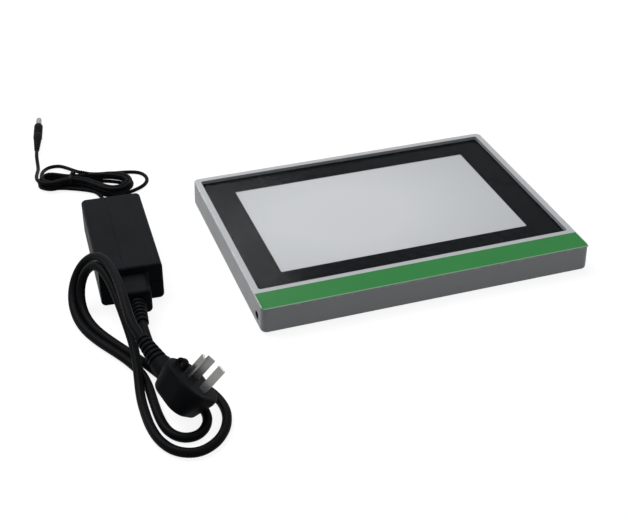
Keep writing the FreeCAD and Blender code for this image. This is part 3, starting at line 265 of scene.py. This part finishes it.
def add_bump(nodes, links, shader, height, strength, distance):
    """Bump from a height value, on the shader's own normal."""
    bump = nodes.new("ShaderNodeBump")
    bump.inputs["Strength"].default_value = strength
    bump.inputs["Distance"].default_value = distance
    links.new(height, bump.inputs["Height"])
    links.new(bump.outputs["Normal"], shader.inputs["Normal"])


def edge_wear_and_highlight(nodes, links, centre, half, turn, band):
    """How near a point is to an edge of a box, 0 to 1, in patches: handling wear and a painted edge
    highlight; metres.
    """
    mapping = object_coordinates(nodes, links)
    mapping.vector_type = "TEXTURE"
    mapping.inputs["Location"].default_value = centre
    mapping.inputs["Rotation"].default_value = (0, 0, turn)
    split = nodes.new("ShaderNodeSeparateXYZ")
    links.new(mapping.outputs["Vector"], split.inputs[0])
    near = []
    for axis in range(3):
        away = two_values(nodes, links, "ABSOLUTE", split.outputs[axis], 0.0)
        near.append(from_range(nodes, links, away, half[axis] - band, half[axis] - band * WEAR_AND_HIGHLIGHT_INNER))
    edges = two_values(nodes, links, "MULTIPLY", near[0], near[2])
    for first, second in ((1, 2), (0, 1)):
        edge = two_values(nodes, links, "MULTIPLY", near[first], near[second])
        edges = two_values(nodes, links, "MAXIMUM", edges, edge)
    patches = from_range(nodes, links, object_noise(nodes, links, WEAR_AND_HIGHLIGHT_SCALE, 5.0, 0.65), *WEAR_AND_HIGHLIGHT_BREAK)
    return two_values(nodes, links, "MULTIPLY", edges, patches)


def moulded(name, colour, rough, grain=1800.0, bump=0.15, spread=0.06, specular=0.5,
            wear_and_highlight=None, wear_and_highlight_lift=0.03):
    """Moulded plastic or rubber: slight tone drift, fine grain, uneven sheen, edges lightened as wear and as
    a painted highlight.
    """
    mat, nodes, links, shader = new_material(name)
    drift = object_noise(nodes, links, DRIFT_SCALE, 4.0)
    low = [c * (1 - spread) for c in colour]
    high = [min(1.0, c * (1 + spread)) for c in colour]
    tone = ramp(nodes, links, drift, low, high)
    # Wear and painted highlight: edges made lighter in patches.
    if wear_and_highlight:
        worn_and_lit = [min(1.0, c + wear_and_highlight_lift) for c in colour]
        tone = two_colours(nodes, links, edge_wear_and_highlight(nodes, links, *wear_and_highlight), tone, worn_and_lit)
    links.new(tone, shader.inputs["Base Color"])
    sheen = to_range(nodes, links, object_noise(nodes, links, SHEEN_SCALE),
                     rough - SHEEN_SPREAD, rough + SHEEN_SPREAD)
    links.new(sheen, shader.inputs["Roughness"])
    add_bump(nodes, links, shader, object_noise(nodes, links, grain, 2.0, 0.6), bump, GRAIN_DEPTH)
    shader.inputs["Specular IOR Level"].default_value = specular
    return mat


def metal(name, colour, rough, brush=(1, 1, 1)):
    """Plated or rolled metal with fine streaks."""
    mat, nodes, links, shader = new_material(name)
    streak = object_noise(nodes, links, 600.0, 4.0, 0.6, brush)
    low = [c * 0.9 for c in colour]
    links.new(ramp(nodes, links, streak, low, colour), shader.inputs["Base Color"])
    links.new(to_range(nodes, links, streak, rough * 0.7, rough * 1.3), shader.inputs["Roughness"])
    add_bump(nodes, links, shader, streak, 0.08, STREAK_DEPTH)
    shader.inputs["Metallic"].default_value = 1.0
    return mat


def clear(name, tint, alpha, rough):
    """Clear sheet: mostly see-through, with a weak reflection."""
    mat, nodes, links, shader = new_material(name)
    smear = object_noise(nodes, links, SMEAR_SCALE)
    links.new(to_range(nodes, links, smear, rough * 0.6, rough * 1.6), shader.inputs["Roughness"])
    links.new(ramp(nodes, links, smear, [c * 0.96 for c in tint], tint), shader.inputs["Base Color"])
    shader.inputs["Alpha"].default_value = alpha
    shader.inputs["IOR"].default_value = 1.5
    return mat


def opal(name, edge, painted_lit_middle):
    """Milky diffuser over a light guide, with painted light: brighter towards the centre of the window,
    painted shade towards its edges.
    """
    mat, nodes, links, shader = new_material(name)
    low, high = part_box("diffuser_sheet")
    mapping = object_coordinates(nodes, links)
    mapping.vector_type = "TEXTURE"
    mapping.inputs["Location"].default_value = (
        (low[0] + high[0]) / 2 + PAINTED_LIGHT_SHIFT, (low[1] + high[1]) / 2, low[2])
    mapping.inputs["Scale"].default_value = PAINTED_LIGHT_REACH
    # Painted light: a spherical gradient that lightens the window's centre and shades its edges.
    glow = nodes.new("ShaderNodeTexGradient")
    glow.gradient_type = "SPHERICAL"
    links.new(mapping.outputs["Vector"], glow.inputs["Vector"])
    tone = ramp(nodes, links, glow.outputs["Fac"], edge, painted_lit_middle, (0.1, 0.75))
    links.new(tone, shader.inputs["Base Color"])
    haze = object_noise(nodes, links, HAZE_SCALE)
    links.new(to_range(nodes, links, haze, 0.5, 0.66), shader.inputs["Roughness"])
    shader.inputs["Specular IOR Level"].default_value = 0.1
    return mat


def film(name, colour, painted_highlight_colour, painted_highlight_width):
    """Printed film with a painted highlight, a lighter strip, along its front edge; metres."""
    mat, nodes, links, shader = new_material(name)
    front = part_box("label_band")[0][1]
    drift = object_noise(nodes, links, DRIFT_SCALE, 4.0)
    tone = ramp(nodes, links, drift, [c * 0.96 for c in colour], [c * 1.04 for c in colour])
    split = nodes.new("ShaderNodeSeparateXYZ")
    coord = nodes.new("ShaderNodeTexCoord")
    links.new(coord.outputs["Object"], split.inputs[0])
    # Painted highlight: the strip along the front edge takes a lighter colour.
    painted_highlight_strip = two_values(nodes, links, "LESS_THAN", split.outputs["Y"], front + painted_highlight_width)
    links.new(two_colours(nodes, links, painted_highlight_strip, tone, painted_highlight_colour), shader.inputs["Base Color"])
    sheen = object_noise(nodes, links, SHEEN_SCALE)
    links.new(to_range(nodes, links, sheen, 0.3, 0.42), shader.inputs["Roughness"])
    add_bump(nodes, links, shader, object_noise(nodes, links, FILM_GRAIN, 2.0, 0.6), 0.05, GRAIN_DEPTH)
    shader.inputs["Specular IOR Level"].default_value = 0.06
    return mat


FINISHES = {
    "case_silver": moulded("pad_case_silver", (0.30, 0.311, 0.321), rough=0.45, grain=2600.0, bump=0.18,
                           spread=0.02, specular=0.25, wear_and_highlight=CASE_WEAR_AND_HIGHLIGHT, wear_and_highlight_lift=0.1),
    # The film's green, and the lighter colour and width of its painted highlight strip.
    "green_film": film("pad_green_film", (0.020, 0.145, 0.035), painted_highlight_colour=(0.15, 0.235, 0.17),
                       painted_highlight_width=0.0011),
    "panel_glass": clear("pad_clear_glass", (0.02, 0.03, 0.032), alpha=0.012, rough=0.12),
    "black_border": moulded("pad_border_ink", (0.0030, 0.0042, 0.0050), rough=0.15, grain=900.0,
                            bump=0.004, spread=0.05, specular=0.022),
    "black_tape": moulded("pad_foam_tape", (0.02, 0.02, 0.02), rough=0.9, grain=3000.0, bump=0.3,
                          spread=0.1, specular=0.2),
    # The window's colours: painted shade at its edges, painted light at its centre.
    "opal_sheet": opal("pad_opal_sheet", edge=(0.335, 0.348, 0.357), painted_lit_middle=(0.44, 0.453, 0.466)),
    "clear_guide": clear("pad_light_guide_acrylic", (0.8, 0.86, 0.86), alpha=0.35, rough=0.1),
    "white_film": moulded("pad_white_reflector", (0.82, 0.82, 0.82), rough=0.7, grain=1500.0, bump=0.03,
                          spread=0.02, specular=0.2),
    "aluminium_sheet": metal("rolled_aluminium", (0.75, 0.76, 0.77), rough=0.35, brush=(1, 12, 1)),
    "circuit_white": moulded("strip_white_mask", (0.78, 0.78, 0.76), rough=0.45, grain=2000.0, bump=0.05,
                             spread=0.03),
    "lamp_yellow": moulded("lamp_phosphor", (0.82, 0.66, 0.14), rough=0.4, grain=2500.0, bump=0.1),
    "steel_screws": metal("zinc_screws", (0.62, 0.62, 0.63), rough=0.3),
    "cover_grey": moulded("cover_grey_plastic", (0.26, 0.27, 0.28), rough=0.55, grain=2200.0, bump=0.25,
                          spread=0.04, specular=0.25),
    "black_rubber": moulded("moulded_black_rubber", (0.0036, 0.0040, 0.0048), rough=0.5, grain=2400.0,
                            bump=0.3, spread=0.2, specular=0.022),
    "black_plastic": moulded("moulded_black_plastic", (0.0072, 0.0078, 0.0090), rough=0.5, grain=2200.0,
                             spread=0.1, specular=0.08),
    "black_gloss": moulded("rocker_black_gloss", (0.010, 0.010, 0.012), rough=0.22, grain=1500.0,
                           bump=0.05, spread=0.05, specular=0.4),
    "bright_metal": metal("nickel_plate", (0.25, 0.25, 0.245), rough=0.3),
    "circuit_green": moulded("board_green_mask", (0.025, 0.16, 0.06), rough=0.35, grain=1500.0,
                             bump=0.08, spread=0.08),
    "dark_parts": moulded("dark_component_sleeve", (0.04, 0.042, 0.05), rough=0.4, grain=1500.0,
                          bump=0.08, spread=0.1),
    "wire_black": moulded("thin_wire_sleeve", (0.03, 0.03, 0.032), rough=0.45, grain=1500.0, bump=0.08,
                          spread=0.1),
    "adapter_black": moulded("adapter_satin_black", (0.0050, 0.0060, 0.0072), rough=0.45, grain=2600.0,
                             bump=0.25, spread=0.15, specular=0.015, wear_and_highlight=BRICK_WEAR_AND_HIGHLIGHT, wear_and_highlight_lift=0.012),
    "ferrite_grey": moulded("sintered_ferrite", (0.08, 0.08, 0.085), rough=0.7, grain=1200.0, bump=0.3,
                            spread=0.1),
    "winding_tape": moulded("winding_yellow_tape", (0.70, 0.50, 0.05), rough=0.4, grain=900.0, bump=0.06,
                            spread=0.05),
    "cord_black": moulded("cord_satin_sheath", (0.0036, 0.0038, 0.0045), rough=0.42, grain=1600.0,
                          bump=0.14, spread=0.2, specular=0.022),
    "tie_black": moulded("wire_tie_plastic", (0.0052, 0.0052, 0.0060), rough=0.4, grain=1200.0,
                         bump=0.08, spread=0.12, specular=0.035),
}
SLOT_OF = {s["node"]: s["material_slot"] for s in frame["record"]["subparts"]}
for node_name, node in frame["nodes"].items():
    node.data.materials.clear()
    node.data.materials.append(FINISHES[SLOT_OF[node_name]])


# Cords.
def spline_of(name, points, diameter, slot_name):
    """A cord as one NURBS spline through given control points, in millimetres."""
    curve = bpy.data.curves.new(name, "CURVE")
    curve.dimensions = "3D"
    spline = curve.splines.new("NURBS")
    spline.points.add(len(points) - 1)
    for point, place in zip(spline.points, points):
        point.co = (place[0] * MM, place[1] * MM, place[2] * MM, 1.0)
    spline.order_u = 3
    spline.use_endpoint_u = True
    spline.resolution_u = 6
    curve.bevel_depth = diameter * MM / 2
    curve.bevel_resolution = 5
    curve.use_fill_caps = True
    curve.materials.append(FINISHES[slot_name])
    obj = bpy.data.objects.new(name, curve)
    bpy.context.scene.collection.objects.link(obj)
    return obj


def hank_turn(turn, first, last):
    """Part of one turn of the tied bundle: its outline drawn in, more so round its wide end."""
    corners = [Vector(p) for p in HANK_OUTLINE]
    count = len(corners)
    inset, wide_inset, level = HANK_TURNS[turn]
    next_inset, _, next_level = HANK_TURNS[min(turn + 1, len(HANK_TURNS) - 1)]
    route = []
    for i in range(first, last + 1):
        along = corners[(i + 1) % count] - corners[i - 1]
        inward = Vector((along.y, -along.x)).normalized()
        wide = max(0.0, 1.0 - abs(i - HANK_WIDE_CORNER) / HANK_WIDE_REACH)
        ease = max(0.0, (i - (count - HANK_EASE_CORNERS)) / HANK_EASE_CORNERS)
        draw = inset + (wide_inset - inset) * wide + (next_inset - inset) * ease
        height = level + (next_level - level) * ease
        wander = HANK_WANDER * math.sin(HANK_WANDER_STEP * i + HANK_WANDER_SHIFT * turn)
        spot = corners[i] + inward * (draw + wander * (HANK_WANDER_LEAST + wide))
        route.append((spot.x, spot.y, HANK_FLOOR + DC_DIAMETER * (0.5 + height)))
    return route


def hank_route():
    """The bundle's turns; the loop on the right is in the first, the one on the left before the last."""
    last = len(HANK_OUTLINE) - 1
    top = len(HANK_TURNS) - 1
    route = hank_turn(0, last - 2, last)
    route += hank_turn(0, 0, 3) + HANK_LOOP_RIGHT + hank_turn(0, 12, last)
    for turn in range(1, top - 1):
        route += hank_turn(turn, 0, last)
    route += hank_turn(top - 1, 0, last - 1)
    return route + HANK_LOOP_LEFT + hank_turn(top, 7, last - 2)


# The wire tie.
def sweep_tree(material):
    """Sweeps a flat strip with a raised wire core along a piece's edges, turning as it goes."""
    tree = bpy.data.node_groups.new("tie_strip_sweep", "GeometryNodeTree")
    face = tree.interface
    face.new_socket("Geometry", in_out="INPUT", socket_type="NodeSocketGeometry")
    sizes = {}
    for label in TIE_BAND_SIZES:
        sizes[label] = face.new_socket(label, in_out="INPUT", socket_type="NodeSocketFloat").identifier
    face.new_socket("Geometry", in_out="OUTPUT", socket_type="NodeSocketGeometry")
    nodes, links = tree.nodes, tree.links
    given = nodes.new("NodeGroupInput")
    path = nodes.new("GeometryNodeMeshToCurve")
    links.new(given.outputs["Geometry"], path.inputs["Mesh"])
    rounded = nodes.new("GeometryNodeFilletCurve")
    rounded.mode = "POLY"
    rounded.inputs["Count"].default_value = TIE_CORNER_STEPS
    rounded.inputs["Limit Radius"].default_value = True
    links.new(path.outputs["Curve"], rounded.inputs["Curve"])
    links.new(given.outputs["Corner Radius"], rounded.inputs["Radius"])
    even = nodes.new("GeometryNodeResampleCurve")
    even.mode = "LENGTH"
    links.new(rounded.outputs["Curve"], even.inputs["Curve"])
    links.new(given.outputs["Step"], even.inputs["Length"])
    along = nodes.new("GeometryNodeSplineParameter")
    turned = two_values(nodes, links, "MULTIPLY", along.outputs["Factor"], given.outputs["Turns"])
    tilted = nodes.new("GeometryNodeSetCurveTilt")
    links.new(even.outputs["Curve"], tilted.inputs["Curve"])
    links.new(two_values(nodes, links, "MULTIPLY", turned, math.tau), tilted.inputs["Tilt"])
    flat = nodes.new("GeometryNodeCurvePrimitiveQuadrilateral")
    links.new(given.outputs["Strip Width"], flat.inputs["Width"])
    links.new(given.outputs["Strip Thickness"], flat.inputs["Height"])
    core = nodes.new("GeometryNodeCurvePrimitiveCircle")
    core.inputs["Resolution"].default_value = TIE_CORE_SIDES
    links.new(given.outputs["Core Radius"], core.inputs["Radius"])
    joined = nodes.new("GeometryNodeJoinGeometry")
    for outline in (flat, core):
        swept = nodes.new("GeometryNodeCurveToMesh")
        swept.inputs["Fill Caps"].default_value = True
        links.new(tilted.outputs["Curve"], swept.inputs["Curve"])
        links.new(outline.outputs["Curve"], swept.inputs["Profile Curve"])
        links.new(swept.outputs["Mesh"], joined.inputs["Geometry"])
    real = nodes.new("GeometryNodeRealizeInstances")
    links.new(joined.outputs["Geometry"], real.inputs["Geometry"])
    dressed = nodes.new("GeometryNodeSetMaterial")
    dressed.inputs["Material"].default_value = material
    links.new(real.outputs["Geometry"], dressed.inputs["Geometry"])
    result = nodes.new("NodeGroupOutput")
    links.new(dressed.outputs["Geometry"], result.inputs["Geometry"])
    return tree, sizes


def swept_piece(name, places, closed, tree, sizes, values):
    """A plain mesh from the sweep along places, in metres; values are in millimetres, but for Turns."""
    count = len(places)
    edges = [(i, (i + 1) % count) for i in range(count if closed else count - 1)]
    mesh = bpy.data.meshes.new(name + "_path")
    mesh.from_pydata(places, edges, [])
    source = bpy.data.objects.new(name + "_path", mesh)
    bpy.context.scene.collection.objects.link(source)
    modifier = source.modifiers.new("sweep", "NODES")
    modifier.node_group = tree
    for label, value in values.items():
        modifier[sizes[label]] = value if label == "Turns" else value * MM
    done = source.evaluated_get(bpy.context.evaluated_depsgraph_get())
    piece = bpy.data.objects.new(name, bpy.data.meshes.new_from_object(done))
    piece.data.name = name
    bpy.data.objects.remove(source)
    bpy.context.scene.collection.objects.link(piece)
    return piece


def tie_place(along, across, height):
    """A point of the tie from its place along and across the bundle, in millimetres."""
    turn = math.radians(TIE_TURN)
    return ((TIE_AT[0] + along * math.cos(turn) - across * math.sin(turn)) * MM,
            (TIE_AT[1] + along * math.sin(turn) + across * math.cos(turn)) * MM, height * MM)


def make_tie():
    """The wire tie round the bundle: one strip round it, and its two ends twisted together."""
    tree, sizes = sweep_tree(FINISHES["tie_black"])
    left, right = TIE_ACROSS
    low, high = TIE_HEIGHT
    ring = [tie_place(0, v, z) for v, z in ((left, low), (right, low), (right, high), (left, high))]
    ends = [tie_place(*spot) for spot in TIE_TAIL]
    band = swept_piece("tie_band", ring, True, tree, sizes, TIE_BAND_SIZES)
    tail = swept_piece("tie_twist", ends, False, tree, sizes, TIE_TWIST_SIZES)
    for piece in (band, tail):
        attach(piece, BASE)
    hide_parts("hank_tie")
    return [band, tail]


mains_lead = spline_of("mains_lead_sheath", MAINS_ROUTE, MAINS_DIAMETER, "cord_black")
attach(mains_lead, MAINS)
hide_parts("mains_lead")

tie_pieces = make_tie()
dc_lead = spline_of("thin_lead_sheath", DC_IN_ROUTE + hank_route() + DC_OUT_ROUTE, DC_DIAMETER, "cord_black")
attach(dc_lead, BASE)
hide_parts("dc_lead", "dc_hank", "dc_lead_end")


# Floor, light, camera.
def seen_directly(nodes, links):
    """One for rays of the camera, of gloss and of glass; zero for diffuse light."""
    path = nodes.new("ShaderNodeLightPath").outputs
    seen = two_values(nodes, links, "MAXIMUM", path["Is Camera Ray"], path["Is Glossy Ray"])
    return two_values(nodes, links, "MAXIMUM", seen, path["Is Transmission Ray"])


def floor_material():
    """White to the camera and to gloss, with the object's shadow; dim to diffuse light, open from below."""
    mat, nodes, links, shader = new_material("studio_floor")
    nodes.remove(shader)
    lit = nodes.new("ShaderNodeBsdfDiffuse")
    lit.inputs["Color"].default_value = (FLOOR_TONE, FLOOR_TONE, FLOOR_TONE, 1)
    glow = nodes.new("ShaderNodeEmission")
    glow.inputs["Color"].default_value = (1, 1, 1, 1)
    strength = two_values(nodes, links, "MULTIPLY", seen_directly(nodes, links), FLOOR_GLOW)
    links.new(strength, glow.inputs["Strength"])
    both = nodes.new("ShaderNodeAddShader")
    links.new(lit.outputs[0], both.inputs[0])
    links.new(glow.outputs[0], both.inputs[1])
    facing = nodes.new("ShaderNodeNewGeometry")
    unseen = nodes.new("ShaderNodeBsdfTransparent")
    sided = nodes.new("ShaderNodeMixShader")
    links.new(facing.outputs["Backfacing"], sided.inputs["Fac"])
    links.new(both.outputs[0], sided.inputs[1])
    links.new(unseen.outputs[0], sided.inputs[2])
    links.new(sided.outputs[0], nodes["Material Output"].inputs["Surface"])
    return mat


def make_floor():
    """A plane just under the feet."""
    mesh = bpy.data.meshes.new("floor")
    signs = ((-1, -1), (1, -1), (1, 1), (-1, 1))
    mesh.from_pydata([(x * FLOOR_HALF, y * FLOOR_HALF, -FLOOR_DROP) for x, y in signs], [], [(0, 1, 2, 3)])
    mesh.materials.append(floor_material())
    floor = bpy.data.objects.new("floor", mesh)
    bpy.context.scene.collection.objects.link(floor)


def make_world():
    """White behind everything; dim to diffuse light."""
    world = bpy.data.worlds.new("studio")
    bpy.context.scene.world = world
    world.use_nodes = True
    nodes, links = world.node_tree.nodes, world.node_tree.links
    back = nodes["Background"]
    back.inputs["Color"].default_value = (1, 1, 1, 1)
    amount = to_range(nodes, links, seen_directly(nodes, links), AMBIENT, 1.0)
    links.new(amount, back.inputs["Strength"])


def area_light(name, place, aim, size, power):
    """A square lamp turned to a point."""
    data = bpy.data.lights.new(name, "AREA")
    data.shape = "SQUARE"
    data.size = size
    data.energy = power
    lamp = bpy.data.objects.new(name, data)
    lamp.location = place
    lamp.rotation_euler = (Vector(aim) - Vector(place)).to_track_quat("-Z", "Y").to_euler()
    bpy.context.scene.collection.objects.link(lamp)


def make_camera():
    """The photograph's camera."""
    az = math.radians(VIEW_AZIMUTH)
    el = math.radians(VIEW_ELEVATION)
    back = Vector((math.sin(az) * math.cos(el), -math.cos(az) * math.cos(el), math.sin(el)))
    right = Vector((math.cos(az), math.sin(az), 0))
    up = back.cross(right)
    data = bpy.data.cameras.new("camera")
    data.lens = VIEW_LENS
    data.sensor_width = VIEW_SENSOR
    data.sensor_fit = "HORIZONTAL"
    data.clip_start = 0.01
    camera = bpy.data.objects.new("camera", data)
    turn = Matrix((right, up, back)).transposed().to_4x4()
    camera.matrix_world = Matrix.Translation(VIEW_TARGET + back * VIEW_DISTANCE) @ turn
    bpy.context.scene.collection.objects.link(camera)
    bpy.context.scene.camera = camera


make_floor()
make_world()
for light in LIGHTS:
    area_light(*light)
make_camera()
bpy.context.scene.view_settings.view_transform = "Standard"
